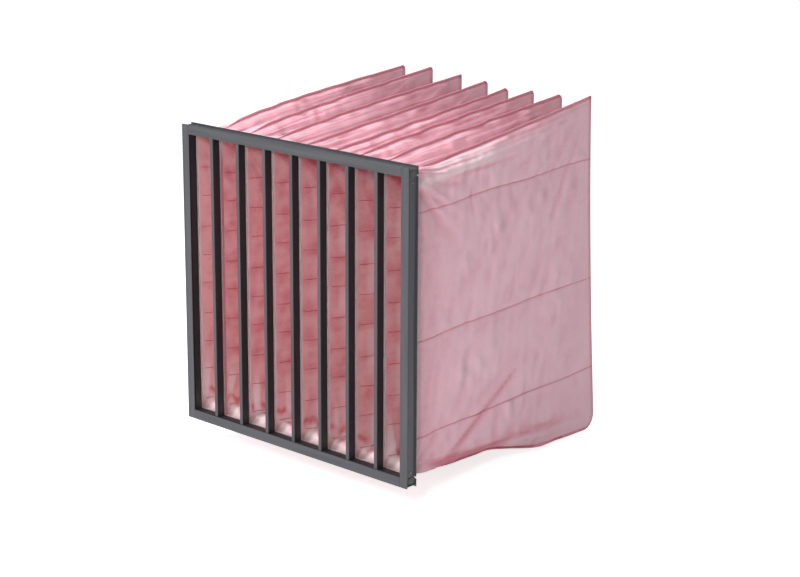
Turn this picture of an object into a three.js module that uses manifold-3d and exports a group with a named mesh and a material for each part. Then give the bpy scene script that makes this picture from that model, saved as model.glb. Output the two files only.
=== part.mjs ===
// Bag air filter: a square header frame of grey channel that carries eight wedge-shaped fabric pockets.
// Millimetres. X points right, Y follows the air into the pockets, Z points up.
// The origin is the centre of the header's front face.
import * as THREE from 'three';
import { mergeVertices } from 'three/addons/utils/BufferGeometryUtils.js';
import Module from 'manifold-3d';

const wasm = await Module();
wasm.setup();

// Header frame: channel with flanges that stand proud of its web
const headerWidth = 592;
const headerHeight = 592;
const headerDepth = 25;
const channelWall = 1.6;
const frontFlange = 18.5;
const webRecess = 3.5;
const flangeCorner = 2.5;

// Clearance between pieces that fit together
const fitGap = 0.3;
const rearFlangeGap = 0.9;

// Divider bars and the retainer in each pocket mouth
const pocketCount = 8;
const endOpeningLess = 5.8;
const bladeThickness = 1.7;
const barFaceThickness = 1.5;
const barEndStep = 0.5;
const retainerWall = 1.5;
const retainerDepth = 15.3;
const retainerLipGap = 2.9;

// Corner keys and rivets
const keyArm = 45;
const keySetback = 2;
const rivetInset = 28.5;
const rivetShank = 1.5;
const rivetHead = 2.5;
const rivetHeadHeight = 1.2;
const rivetEdge = 0.4;
const rivetCrown = 1.6;
const rivetCrownHeight = 1;
const rivetLength = 8;
const rivetSides = 12;

// Pockets: fabric, seams and stitched channels
const fabricWall = 0.8;
const pocketDepth = 570;
const seamPitch = 74;
const seamThickness = 1.9;
const seamWidth = 12;
const finHeight = 5;
const collarCorner = 1.2;
const liningFin = 1.2;
const ridgeStart = 275;
const ridgeTop = 343;
const hemDrop = 28;
const bellyDrop = 31;
const swell = 1.25;
const roofSlack = 0.85;
const roofRoundness = 0.5;
const stitchHeights = [205, -32, -215];
const stitchRises = [20, 17, 12];
const stitchPinch = 2;
const channelBulge = 2.5;
const heelRadius = 34;
const heelSag = 1.5;

// How each soft pocket differs from the next: how far its upper and lower rear corners reach back,
// how high it stands, how steadily its ridge rises, how round its upper rear corner is and how it sways
const reachSlack = [20, 24, 31, 27, 4, -6, -10, -13];
const heelSlack = [16, 16, 17, 15, 28, 33, 33, 40];
const riseSlack = [4, 8, 0, -4, -7, -2, 0, 6];
const ridgeRises = [0.6, 0.68, 0.75, 0.92, 1.05, 0.8, 0.73, 1.15];
const toeRadii = [9, 8, 3, 10, 12, 9, 12, 2];
const sway = [-3, 2, -2, 3, -3, 2, 3, -2];
const swellDiffers = 0.15;

// Places along a pocket, from the end of its collar (0) to the rear seam (1)
const loftSteps = [0.07, 0.17, 0.33, 0.52, 0.71, 0.88];
const tentFrom = 0.17;
const hemRun = 0.08;
const bellyFrom = 0.4;
const bellyTo = 0.73;
const cornerFade = 6;

// Sizes that follow from those above
const halfWidth = headerWidth / 2;
const halfHeight = headerHeight / 2;
const openHalfWidth = halfWidth - frontFlange;
const openHalfHeight = halfHeight - frontFlange;
const barWidth = bladeThickness + 2 * (retainerWall + 2 * fitGap + fabricWall);
const barCount = pocketCount - 1;
const openingWidth = (2 * openHalfWidth - barCount * barWidth + 2 * endOpeningLess) / pocketCount;
const barPitch = openingWidth + barWidth;
const barFront = channelWall + fitGap;
const retainerFront = barFront + barFaceThickness + fitGap;
const fabricFront = retainerFront + retainerWall + fitGap;
const innerBack = headerDepth - channelWall - fitGap;
const collarReach = retainerWall + fitGap + fabricWall;
const rearInset = frontFlange - collarReach - rearFlangeGap;
const webOuter = webRecess;
const webInner = webRecess + channelWall;
const ridgeBottom = ridgeStart + hemDrop + bellyDrop;

const grey = 0x73757b;
const black = 0x1b1c20;
const pink = 0xd69aa4;
const steel = 0x8d8f93;

function paint(color, roughness, metalness) {
  return new THREE.MeshStandardMaterial({ color, roughness, metalness });
}

function signedVolume(geometry) {
  const { position } = geometry.attributes;
  const { index } = geometry;
  const [a, b, c] = [new THREE.Vector3(), new THREE.Vector3(), new THREE.Vector3()];
  let volume = 0;
  for (let i = 0; i < index.count; i += 3) {
    a.fromBufferAttribute(position, index.getX(i));
    b.fromBufferAttribute(position, index.getX(i + 1));
    c.fromBufferAttribute(position, index.getX(i + 2));
    volume += a.dot(b.cross(c)) / 6;
  }
  return volume;
}

// Keeps only positions, joins shared vertices and turns the faces outward
function closed(geometry) {
  const bare = geometry.clone();
  bare.deleteAttribute('normal');
  bare.deleteAttribute('uv');
  const merged = mergeVertices(bare, 1e-4);
  if (signedVolume(merged) < 0) merged.setIndex(Array.from(merged.index.array).reverse());
  return merged;
}

function solid(geometry) {
  const body = closed(geometry);
  const vertProperties = Float32Array.from(body.attributes.position.array);
  const triVerts = Uint32Array.from(body.index.array);
  return new wasm.Manifold(new wasm.Mesh({ numProp: 3, vertProperties, triVerts }));
}

function geometryOf(body) {
  const { vertProperties, triVerts } = body.getMesh();
  const geometry = new THREE.BufferGeometry();
  geometry.setAttribute('position', new THREE.BufferAttribute(Float32Array.from(vertProperties), 3));
  geometry.setIndex(Array.from(triVerts));
  return geometry;
}

function box(x0, x1, y0, y1, z0, z1) {
  const block = new THREE.BoxGeometry(x1 - x0, y1 - y0, z1 - z0);
  return block.translate((x0 + x1) / 2, (y0 + y1) / 2, (z0 + z1) / 2);
}

function outline(points) {
  return new THREE.Shape(points.map(([a, b]) => new THREE.Vector2(a, b)));
}

function extrude(shape, depth) {
  return new THREE.ExtrudeGeometry(shape, { depth, bevelEnabled: false, curveSegments: 4 });
}

// A section drawn as (y, z) and run along X, centred
function alongX(shape, length) {
  const turn = new THREE.Matrix4().makeBasis(
    new THREE.Vector3(0, 1, 0), new THREE.Vector3(0, 0, 1), new THREE.Vector3(1, 0, 0));
  return extrude(shape, length).translate(0, 0, -length / 2).applyMatrix4(turn);
}

// An outline drawn as (z, x) and run along Y from a given depth
function alongY(shape, front, depth) {
  const turn = new THREE.Matrix4().makeBasis(
    new THREE.Vector3(0, 0, 1), new THREE.Vector3(1, 0, 0), new THREE.Vector3(0, 1, 0));
  return extrude(shape, depth).applyMatrix4(turn).translate(0, front, 0);
}

function hole(radius, depth) {
  return new THREE.CylinderGeometry(radius, radius, depth, rivetSides);
}

// Web and rear flange of the channel, as depth against distance from the outer edge of the header
function webAndRearFlange(edge) {
  const front = channelWall / 2;
  const rear = headerDepth - channelWall;
  return [
    [front, edge - webOuter], [front, edge - webInner], [rear, edge - webInner], [rear, edge - rearInset],
    [headerDepth, edge - rearInset], [headerDepth, edge], [rear, edge], [rear, edge - webOuter],
  ];
}

// The top rail runs the full width, and its front flange stops between the stiles
function railGeometry() {
  const plateHalf = openHalfWidth - fitGap;
  const plate = solid(box(-plateHalf, plateHalf, 0, channelWall, openHalfHeight, halfHeight));
  const channel = solid(alongX(outline(webAndRearFlange(halfHeight)), headerWidth));
  let rail = plate.add(channel);
  for (const side of [-1, 1]) {
    const [x0, x1] = [side * plateHalf, side * (halfWidth + fitGap)].sort((a, b) => a - b);
    rail = rail.subtract(solid(box(x0, x1, -1, barFront, openHalfHeight - 1, halfHeight + 1)));
    const drill = hole(rivetShank + fitGap, 4 * channelWall).rotateX(Math.PI / 2);
    drill.translate(side * (halfWidth - rivetInset), headerDepth / 2, halfHeight - webInner);
    rail = rail.subtract(solid(drill));
  }
  return geometryOf(rail);
}

// The stile's front flange runs the full height over both rails, and its web stops between them
function stileGeometry() {
  const face = new THREE.Shape();
  face.moveTo(-halfHeight, openHalfWidth);
  face.lineTo(halfHeight, openHalfWidth);
  face.lineTo(halfHeight, halfWidth - flangeCorner);
  face.absarc(halfHeight - flangeCorner, halfWidth - flangeCorner, flangeCorner, 0, Math.PI / 2, false);
  face.lineTo(flangeCorner - halfHeight, halfWidth);
  face.absarc(flangeCorner - halfHeight, halfWidth - flangeCorner, flangeCorner, Math.PI / 2, Math.PI, false);
  const plate = solid(alongY(face, 0, channelWall));
  const section = outline(webAndRearFlange(halfWidth).map(([y, x]) => [x, y]));
  const channel = solid(extrude(section, 2 * openHalfHeight).translate(0, 0, -openHalfHeight));
  let stile = plate.add(channel);
  for (const side of [-1, 1]) {
    const drill = hole(rivetShank + fitGap, 4 * channelWall).rotateZ(Math.PI / 2);
    drill.translate(halfWidth - webInner, headerDepth / 2, side * (halfHeight - rivetInset));
    stile = stile.subtract(solid(drill));
  }
  return geometryOf(stile);
}

// An L-shaped key joins a rail and a stile from inside their channels
function cornerKeyGeometry(sideX, sideZ) {
  const reach = { x: halfWidth, z: halfHeight };
  const inner = { x: reach.x - rearInset, z: reach.z - rearInset };
  const outer = { x: reach.x - webInner - fitGap, z: reach.z - webInner - fitGap };
  const shoulder = openHalfHeight + fitGap;
  const points = [
    [outer.z, reach.x - keyArm], [outer.z, reach.x - keySetback], [shoulder, reach.x - keySetback],
    [shoulder, outer.x], [reach.z - keyArm, outer.x], [reach.z - keyArm, inner.x],
    [inner.z, inner.x], [inner.z, reach.x - keyArm],
  ];
  const shape = outline(points.map(([z, x]) => [sideZ * z, sideX * x]));
  let key = solid(alongY(shape, fabricFront, innerBack - fabricFront));
  const down = hole(rivetShank + fitGap, keyArm).rotateX(Math.PI / 2);
  key = key.subtract(solid(down.translate(sideX * (reach.x - rivetInset), headerDepth / 2, sideZ * reach.z)));
  const across = hole(rivetShank + fitGap, keyArm).rotateZ(Math.PI / 2);
  key = key.subtract(solid(across.translate(sideX * reach.x, headerDepth / 2, sideZ * (reach.z - rivetInset))));
  return geometryOf(key);
}

// Domed rivet along +Y, with its head on the plane y = fitGap
function rivetGeometry() {
  const profile = [
    [0, -rivetLength], [rivetShank, -rivetLength], [rivetShank, fitGap], [rivetHead, fitGap],
    [rivetHead, fitGap + rivetEdge], [rivetCrown, fitGap + rivetCrownHeight], [0, fitGap + rivetHeadHeight],
  ];
  return closed(new THREE.LatheGeometry(profile.map(([r, y]) => new THREE.Vector2(r, y)), rivetSides));
}

// T-section bar between two pockets, held between the front and rear flanges of both rails;
// its face steps back where it passes behind the front flanges
function dividerBarGeometry() {
  const half = { face: barWidth / 2, blade: bladeThickness / 2 };
  const step = barFront + barFaceThickness;
  const height = halfHeight - webInner - fitGap;
  const section = outline([
    [-half.face, barFront], [half.face, barFront], [half.face, step], [half.blade, step],
    [half.blade, innerBack], [-half.blade, innerBack], [-half.blade, step], [-half.face, step],
  ]);
  let bar = solid(extrude(section, 2 * height).translate(0, 0, -height));
  for (const [z0, z1] of [[openHalfHeight - fitGap, halfHeight], [-halfHeight, fitGap - openHalfHeight]]) {
    bar = bar.subtract(solid(box(-barWidth, barWidth, 0, barFront + barEndStep, z0, z1)));
  }
  return geometryOf(bar);
}

function barPlace(index) {
  return (index - (barCount - 1) / 2) * barPitch;
}

// Left and right edges of one opening in the front face
function openingOf(index) {
  const left = index === 0 ? -openHalfWidth : barPlace(index - 1) + barWidth / 2;
  const right = index === pocketCount - 1 ? openHalfWidth : barPlace(index) - barWidth / 2;
  return { left, right, middle: (left + right) / 2, half: (right - left) / 2 };
}

function rectangle(halfTall, halfWide) {
  return outline([[-halfTall, -halfWide], [halfTall, -halfWide], [halfTall, halfWide], [-halfTall, halfWide]]);
}

// Retainer: a rectangular sleeve in the pocket mouth; its lip stands above and below it,
// behind the rails' front flanges
function retainerGeometry(half) {
  const lipEdge = halfHeight - webInner - retainerLipGap;
  const sleeve = solid(alongY(rectangle(openHalfHeight + retainerWall, half + retainerWall),
    retainerFront, retainerDepth));
  const lip = solid(alongY(rectangle(lipEdge, half + retainerWall), retainerFront, retainerWall));
  const bore = solid(alongY(rectangle(openHalfHeight, half), 0, headerDepth));
  return geometryOf(sleeve.add(lip).subtract(bore));
}

function smooth(value) {
  const t = Math.min(Math.max(value, 0), 1);
  return t * t * (3 - 2 * t);
}

function mix(from, to, share) {
  return from + (to - from) * share;
}

// Right-hand half of the square collar in the header, from the middle of its top edge downward
function collarPoints(form, inset, sideHeights) {
  const wide = form.mouthHalf - inset;
  const tall = openHalfHeight + collarReach - inset;
  const corner = Math.max(collarCorner - inset, fitGap);
  const near = corner * (1 - Math.SQRT1_2);
  const apex = inset > 0 ? [fitGap / 2, fitGap] : [seamThickness / 2, seamThickness / 2 + fitGap];
  const top = [[apex[0], tall], [apex[1], tall], [wide - corner, tall], [wide - near, tall - near]];
  const bottom = top.map(([x, z]) => [x, -z]).reverse();
  const side = sideHeights.map((z) => [wide, z]);
  return [...top, [wide, tall - corner], ...side, [wide, corner - tall], ...bottom];
}

// Heights of the points between the shoulders: the stitch lines, and the bulging channels between them
function sideHeightsBetween(p, top, bottom) {
  const [upper, middle, lower] = stitchHeights.map((height, i) => height + stitchRises[i] * p);
  const between = (from, to, count) => {
    const shares = Array.from({ length: count }, (_, k) => (k + 1) / (count + 1));
    return shares.map((share) => [mix(from, to, share), 1]);
  };
  return [
    ...between(top, upper, 1), [upper, -1], ...between(upper, middle, 2), [middle, -1],
    ...between(middle, lower, 2), [lower, -1], ...between(lower, bottom, 1),
  ];
}

// Lower ridge of a pocket: it drops to its hem just behind the header, and sags again further back
function bottomAt(p) {
  const hem = hemDrop * (1 - Math.exp(-p / hemRun));
  const belly = bellyDrop * smooth((p - bellyFrom) / (bellyTo - bellyFrom));
  return -(ridgeStart + hem + belly);
}

// Half width of a pocket, wide at the mouth and down to its sewn edge at the rear
function halfWidthAt(form, p) {
  return mix(form.mouthHalf, seamThickness / 2, p ** swell);
}

// Gabled roof from the ridge to the shoulder, between a straight slope and a round arch
function roofPoints(apex, width, z, drop) {
  const shares = [1, 2, 3].map((k) => k / 3);
  return shares.map((q) => {
    const turn = (q * Math.PI) / 2;
    const across = mix(q, Math.sin(turn), roofRoundness);
    const down = mix(q, 1 - Math.cos(turn), roofRoundness);
    return [mix(apex, width, across), z - Math.sign(z) * drop * down];
  });
}

// Right-hand half of a pocket's section, from its top ridge to its bottom ridge
function tentPoints(form, p, inset) {
  const width = halfWidthAt(form, p);
  const drop = roofSlack * Math.sqrt(Math.max(form.mouthHalf ** 2 - width ** 2, 0)) + collarCorner;
  const swellHere = Math.sin(Math.PI * p) * form.fullness;
  const fin = finHeight * smooth(p / tentFrom);
  const apex = inset > 0 ? [fitGap / 2, fitGap] : [seamThickness / 2, seamThickness / 2 + fitGap];
  const top = mix(ridgeStart, form.ridgeTop, p ** form.ridgeRise);
  const bottom = bottomAt(p);
  const finBase = (z) => z - Math.sign(z) * (fin + (inset > 0 ? liningFin : 0));
  const finTop = (z) => (inset > 0 ? finBase(z) + Math.sign(z) * fitGap : z);
  const upperRoof = roofPoints(apex[1], width - inset, finBase(top), drop);
  const lowerRoof = roofPoints(apex[1], width - inset, finBase(bottom), drop).reverse();
  const side = sideHeightsBetween(p, upperRoof[2][1], lowerRoof[0][1]).map(([z, bulge]) => {
    const push = bulge > 0 ? channelBulge : -stitchPinch;
    return [width - inset + push * swellHere, z];
  });
  return [
    [apex[0], finTop(top)], [apex[1], finBase(top)], ...upperRoof, ...side,
    ...lowerRoof, [apex[1], finBase(bottom)], [apex[0], finTop(bottom)],
  ];
}

// How far the rounded rear corners fall short of the rear seam
function cornerShort(z, form) {
  const short = (distance, radius) => {
    const inside = Math.max(radius - distance, 0);
    return radius - Math.sqrt(Math.max(radius ** 2 - inside ** 2, 0));
  };
  return short(form.ridgeTop - z, form.toeRadius) + short(z + ridgeBottom, heelRadius);
}

// How far back a pocket reaches at a height: less at its upper rear corner than at its lower one
function reachAt(z, form) {
  const share = Math.max((form.ridgeTop - z) / (form.ridgeTop + ridgeBottom), 0);
  return form.reach + form.heel * share ** heelSag;
}

// One closed loop around a pocket, right side down and left side up
function pocketLoop(form, p, inset) {
  const tent = tentPoints(form, p, inset);
  const squareHeights = sideHeightsBetween(0, openHalfHeight, -openHalfHeight).map(([z]) => z);
  const square = collarPoints(form, inset, squareHeights);
  const share = smooth(p / tentFrom);
  const middle = mix(form.mouthX, form.seamX, p) + form.sway * Math.sin(Math.PI * p) ** 2;
  const right = tent.map(([x, z], i) => [mix(square[i][0], x, share), mix(square[i][1], z, share)]);
  const front = headerDepth + fitGap;
  const depthAt = (z) => mix(front, reachAt(z, form), p) - cornerShort(z, form) * p ** cornerFade;
  const points = right.map(([x, z]) => new THREE.Vector3(middle + x, depthAt(z), z));
  const left = right.map(([x, z]) => new THREE.Vector3(middle - x, depthAt(z), z)).reverse();
  return [...points, ...left];
}

function mouthLoop(form, inset) {
  return pocketLoop(form, 0, inset).map((point) => point.setY(fabricFront));
}

// Joins successive loops, closes the last one across and leaves the first one open
function skinFaces(loops, offset) {
  const count = loops[0].length;
  const faces = [];
  for (let ring = 0; ring < loops.length - 1; ring += 1) {
    for (let i = 0; i < count; i += 1) {
      const [a, b] = [offset + ring * count + i, offset + ring * count + ((i + 1) % count)];
      faces.push([a, b, b + count], [a, b + count, a + count]);
    }
  }
  const last = offset + (loops.length - 1) * count;
  for (let i = 0; i < count / 2 - 1; i += 1) {
    const [a, b, c, d] = [last + i, last + i + 1, last + count - 2 - i, last + count - 1 - i];
    faces.push([a, b, c], [a, c, d]);
  }
  return faces;
}

// A hollow pocket of one wall, open at its mouth and closed by the sewn rear seam
function pocketGeometry(form) {
  const liningEnd = 1 - seamWidth / (form.reach - headerDepth);
  const skin = [mouthLoop(form, 0), ...[0, ...loftSteps, 1].map((p) => pocketLoop(form, p, 0))];
  const lining = [
    mouthLoop(form, fabricWall),
    ...[0, ...loftSteps, liningEnd].map((p) => pocketLoop(form, p, fabricWall)),
  ];
  const count = skin[0].length;
  const offset = skin.length * count;
  const faces = [
    ...skinFaces(skin, 0),
    ...skinFaces(lining, offset).map(([a, b, c]) => [a, c, b]),
  ];
  for (let i = 0; i < count; i += 1) {
    const next = (i + 1) % count;
    faces.push([i, offset + next, next], [i, offset + i, offset + next]);
  }
  const points = [...skin, ...lining].flat();
  const geometry = new THREE.BufferGeometry().setFromPoints(points);
  geometry.setIndex(faces.flat());
  if (signedVolume(geometry) < 0) geometry.setIndex(faces.map(([a, b, c]) => [a, c, b]).flat());
  return geometry;
}

function pocketForm(index) {
  const opening = openingOf(index);
  return {
    mouthX: opening.middle,
    mouthHalf: opening.half + collarReach,
    seamX: (index - (pocketCount - 1) / 2) * seamPitch,
    reach: pocketDepth + reachSlack[index % reachSlack.length],
    heel: heelSlack[index % heelSlack.length],
    ridgeTop: ridgeTop + riseSlack[index % riseSlack.length],
    ridgeRise: ridgeRises[index % ridgeRises.length],
    toeRadius: toeRadii[index % toeRadii.length],
    sway: sway[index % sway.length],
    fullness: 1 + swellDiffers * Math.sin(2 * index),
  };
}

const filter = new THREE.Group();

function addPiece(name, geometry, material) {
  const mesh = new THREE.Mesh(geometry, material);
  mesh.name = name;
  filter.add(mesh);
  return mesh;
}

function addFrame() {
  addPiece('top_rail', railGeometry(), paint(grey, 0.55, 0));
  addPiece('bottom_rail', railGeometry(), paint(grey, 0.55, 0)).rotation.y = Math.PI;
  addPiece('right_stile', stileGeometry(), paint(grey, 0.55, 0));
  addPiece('left_stile', stileGeometry(), paint(grey, 0.55, 0)).rotation.y = Math.PI;
}

function addCorner(place, sideX, sideZ) {
  addPiece(`corner_key_${place}`, cornerKeyGeometry(sideX, sideZ), paint(steel, 0.5, 0));
  const side = addPiece(`rivet_stile_${place}`, rivetGeometry(), paint(steel, 0.4, 0.8));
  side.rotation.z = (-sideX * Math.PI) / 2;
  side.position.set(sideX * (halfWidth - webOuter), headerDepth / 2, sideZ * (halfHeight - rivetInset));
  const level = addPiece(`rivet_rail_${place}`, rivetGeometry(), paint(steel, 0.4, 0.8));
  level.rotation.x = (sideZ * Math.PI) / 2;
  level.position.set(sideX * (halfWidth - rivetInset), headerDepth / 2, sideZ * (halfHeight - webOuter));
}

function addDividers() {
  for (let i = 0; i < barCount; i += 1) {
    addPiece(`divider_bar_${i + 1}`, dividerBarGeometry(), paint(grey, 0.55, 0)).position.x = barPlace(i);
  }
}

function addPockets() {
  for (let i = 0; i < pocketCount; i += 1) {
    const opening = openingOf(i);
    const retainer = addPiece(`pocket_retainer_${i + 1}`, retainerGeometry(opening.half), paint(black, 0.6, 0));
    retainer.position.x = opening.middle;
    addPiece(`pocket_${i + 1}`, pocketGeometry(pocketForm(i)), paint(pink, 0.9, 0));
  }
}

addFrame();
addCorner('top_right', 1, 1);
addCorner('top_left', -1, 1);
addCorner('bottom_right', 1, -1);
addCorner('bottom_left', -1, -1);
addDividers();
addPockets();

export default filter;
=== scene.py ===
"""Bag air filter: the finish of its header, its mouth retainers and its eight fabric pockets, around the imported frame.

Lengths are in millimetres until a mesh is made from them in metres. X points right, Y follows the air into the
pockets, Z points up, and the origin is the centre of the header's front face.
"""

import bmesh
import bpy
import numpy as np
from mathutils import Matrix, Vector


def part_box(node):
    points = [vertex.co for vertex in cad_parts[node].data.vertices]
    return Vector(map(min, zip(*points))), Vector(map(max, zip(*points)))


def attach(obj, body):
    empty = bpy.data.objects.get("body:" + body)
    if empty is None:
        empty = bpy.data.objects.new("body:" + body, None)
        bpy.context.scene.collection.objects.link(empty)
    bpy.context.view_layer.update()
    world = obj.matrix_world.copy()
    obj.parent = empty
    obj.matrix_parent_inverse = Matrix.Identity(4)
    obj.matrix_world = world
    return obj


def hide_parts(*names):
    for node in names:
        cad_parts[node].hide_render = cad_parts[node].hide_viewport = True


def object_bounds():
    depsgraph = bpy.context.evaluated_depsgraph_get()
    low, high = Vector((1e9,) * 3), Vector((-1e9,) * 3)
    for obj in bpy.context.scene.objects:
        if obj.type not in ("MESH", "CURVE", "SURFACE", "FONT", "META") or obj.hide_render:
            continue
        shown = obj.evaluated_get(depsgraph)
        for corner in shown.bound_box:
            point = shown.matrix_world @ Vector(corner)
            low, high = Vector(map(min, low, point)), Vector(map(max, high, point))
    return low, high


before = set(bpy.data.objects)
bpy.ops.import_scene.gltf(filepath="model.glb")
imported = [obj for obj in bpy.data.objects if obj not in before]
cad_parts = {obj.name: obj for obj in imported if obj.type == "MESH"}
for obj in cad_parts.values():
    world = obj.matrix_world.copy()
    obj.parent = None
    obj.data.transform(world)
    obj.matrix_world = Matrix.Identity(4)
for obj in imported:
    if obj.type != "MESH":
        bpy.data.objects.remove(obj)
cad_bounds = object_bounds()

MM = 0.001
BODY = "root"
POCKETS = range(1, 9)
BARS = range(1, 8)
CORNERS = ("top_right", "top_left", "bottom_right", "bottom_left")

# Camera, fitted to the corners of the header and the tips of the pockets; the focal length is in picture widths
CAMERA_PLACE = (2646.4, -2558.2, 1028.2)
CAMERA_YAW, CAMERA_PITCH, CAMERA_ROLL = -42.815, 15.265, 0.287
CAMERA_FOCAL = 2051.5 / 800
SENSOR = 36.0

# Header and pocket sizes, as in the solids
HEADER_DEPTH = 25.0
OPEN_HALF_HEIGHT = 277.5
SLEEVE_WALL = 1.5
FABRIC_FRONT = 5.5
FABRIC_WALL = 0.8
MOUTH_STEPS = (FABRIC_FRONT, 12.0, 18.5)
TENT_GAP = 0.3
COLLAR_REACH = 2.6
COLLAR_CORNER = 1.2
SEAM_PITCH = 74.0
SEAM_HALF = 0.95
SEAM_WIDTH = 12.0
FIN_HEIGHT = 6.0
RIDGE_START = 275.0
SWELL = 1.25
ROOF_SLACK = 0.85
TENT_FROM = 0.17
STITCH_HEIGHTS = (205.0, -32.0, -215.0)
STITCH_RISES = (20.0, 17.0, 12.0)
HEM_DROP, HEM_RUN = 28.0, 0.08
BELLY_DROP, BELLY_FROM, BELLY_TO = 31.0, 0.40, 0.73
RIDGE_BOTTOM = RIDGE_START + HEM_DROP + BELLY_DROP
HEEL_RADIUS = 34.0
HEEL_SAG = 1.5

# How each pocket differs: reach of its upper rear corner, how much further its heel reaches, height and rise of
# its ridge, radius of its upper rear corner, and how it sways
POCKET_SIZES = {
    "reach": (590, 594, 601, 597, 574, 564, 560, 557),
    "heel": (16, 16, 17, 15, 28, 33, 33, 40),
    "top": (347, 351, 343, 339, 336, 341, 343, 349),
    "rise": (0.6, 0.68, 0.75, 0.92, 1.05, 0.8, 0.73, 1.15),
    "toe": (9, 8, 3, 10, 12, 9, 12, 2),
    "sway": (-3, 2, -2, 3, -3, 2, 3, -2),
}

# Rows of a pocket's grid, which crowd toward the mouth; the lining has fine rows up to a share of its depth
ROWS, CROWDING = 106, 1.08
LINING_ROWS, LINING_FINE = (44, 16), 0.26

# Folds: the furthest in and out, the lining's share of folds and of pleats, and the room kept to the pocket beside
FOLD_IN, FOLD_OUT = -2.4, 6.0
LINING_FOLDS, LINING_PLEATS = 0.25, 0.3
CLEARANCE = 0.4

# Lining: its depth inside the skin and where that is reached, the spacing of its rows of thread, how they fall
# behind the mouth, how far it stands in along them, and the sill of fabric on the floor behind the mouth
LINING_DEPTH, LINING_SETTLED = 3.0, 0.08
INNER_LINES = 58.5
LINE_FALL, LINE_FALL_RUN = 11.0, 60.0
CUSHION = 2.2
SILL_HEIGHT, SILL_PLACE, SILL_RUN = 15.0, 50.0, 30.0

# Creases that stand out on the outermost right panel: start and end as (y, z), width and depth
PANEL_FOLDS = (
    ((100, -292), (275, -195), 8, 4.0),
    ((235, -222), (348, -139), 5, 4.0),
    ((22, 266), (175, 241), 6, 4.0),
    ((25, 246), (120, 214), 4, 2.0),
    ((120, 258), (400, 270), 3, 1.6),
    ((189, 228), (195, 206), 2.5, 2.0),
    ((548, 318), (418, 95), 8, 2.4),
    ((520, 322), (372, 120), 8, 2.4),
    ((556, 285), (490, 120), 8, 2.4),
)
LONG_CREASE = ((112, -288), (342, -142))

# Length, gap and radius of the stitches on the seams, the fins and the inner rows, and the rows where they begin
SEAM_STITCH, FIN_STITCH, INNER_STITCH = (4.4, 1.5, 0.42), (4.8, 1.6, 0.42), (9.0, 0.4, 0.6)
SEAM_FROM, FIN_FROM = 5, 12

# Turned edge behind a retainer: points along and around it, its place, its radius, and how far it strays inward
HEM_POINTS, HEM_SIDES = 400, 6
HEM_PLACE, HEM_RADIUS, HEM_STRAY = 21.4, 0.65, 2.2

# Edges and facets of the rigid pieces: bevel from this angle, join below this one, shade sharp from the last
BEVEL_FROM, JOIN_BELOW, SHARP_FROM = np.radians([32.0, 1.0, 30.0]).tolist()
WELD = 1e-5

# Stage: drop of the floor under the lowest pocket, its half width, what the camera sees it glow, and the world's
# light; then each lamp's name, place, target, size and power
FLOOR_DROP, FLOOR_HALF, FLOOR_GLOW = 12.0, 30000.0, 0.76
WORLD_LIGHT = 0.3
LAMPS = (
    ("key above the front left", (-1200, -2400, 2300), (0, 100, 0), 1000, 108),
    ("top", (-300, 500, 3000), (0, 300, 0), 1000, 34),
    ("grazing side", (1700, -2500, 1500), (250, 300, 0), 500, 44),
)


def smooth(value):
    """Eased step from 0 to 1."""
    t = np.clip(value, 0, 1)
    return t * t * (3 - 2 * t)


def mix(low, high, share):
    return low + (high - low) * share


def srgb(red, green, blue):
    """Linear colour with alpha from 0 to 255 screen values."""
    value = np.array([red, green, blue]) / 255
    linear = np.where(value <= 0.04045, value / 12.92, ((value + 0.055) / 1.055) ** 2.4)
    return (*linear.tolist(), 1.0)


# Meshes

def new_piece(name, points, faces, material, attributes=()):
    """Object at the origin from points in millimetres; its quads are turned outward by the sign of the volume."""
    points = np.asarray(points, float) * MM
    faces = np.asarray(faces)
    tri = np.concatenate([faces[:, [0, 1, 2]], faces[:, [0, 2, 3]]])
    a, b, c = points[tri[:, 0]], points[tri[:, 1]], points[tri[:, 2]]
    if np.einsum("ij,ij->i", a, np.cross(b, c)).sum() < 0:
        faces = faces[:, ::-1]
    mesh = bpy.data.meshes.new(name)
    mesh.from_pydata(points.tolist(), [], faces.tolist())
    for label, values in attributes:
        layer = mesh.attributes.new(label, "FLOAT", "POINT")
        layer.data.foreach_set("value", np.asarray(values, np.float32).ravel())
    mesh.polygons.foreach_set("use_smooth", np.ones(len(mesh.polygons), bool))
    mesh.materials.append(material)
    piece = bpy.data.objects.new(name, mesh)
    bpy.context.scene.collection.objects.link(piece)
    return piece


def ring_faces(rings, around, start=0):
    """Quads between successive closed loops of points."""
    ring, i = np.meshgrid(np.arange(rings - 1), np.arange(around), indexing="ij")
    here, there = start + ring * around + i, start + ring * around + (i + 1) % around
    return np.stack([here, there, there + around, here + around], -1).reshape(-1, 4)


def strip_faces(first, count):
    """Quads that close a loop of two mirrored halves straight across."""
    i = np.arange(count // 2 - 1)
    return np.stack([first + i, first + i + 1, first + count - 2 - i, first + count - 1 - i], -1)


# Relief of the fabric, in millimetres along the surface normal

def ripples(u, v, seed, size, count=9, lean=0.0, spread=np.pi):
    """Sum of sine waves of about the given length in random directions, or near one direction, scaled to about 1."""
    rng = np.random.default_rng(seed)
    total = np.zeros(np.broadcast(u, v).shape)
    for _ in range(count):
        angle = rng.uniform(-spread, spread) + lean
        wave = 2 * np.pi / (size * rng.uniform(0.6, 1.7))
        total += np.sin(wave * (u * np.cos(angle) + v * np.sin(angle)) + rng.uniform(0, 2 * np.pi))
    return total / np.sqrt(count / 2)


def crumple(u, v, seed, size, **direction):
    """Sharp-backed creases: one minus the absolute value of warped ripples."""
    warp = 0.35 * size * ripples(u, v, seed + 50, 2.5 * size, 5)
    return 1 - np.abs(ripples(u + warp, v - warp, seed, size, 5, **direction))


def groove(distance, width):
    return np.exp(-(distance / width) ** 2)


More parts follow.
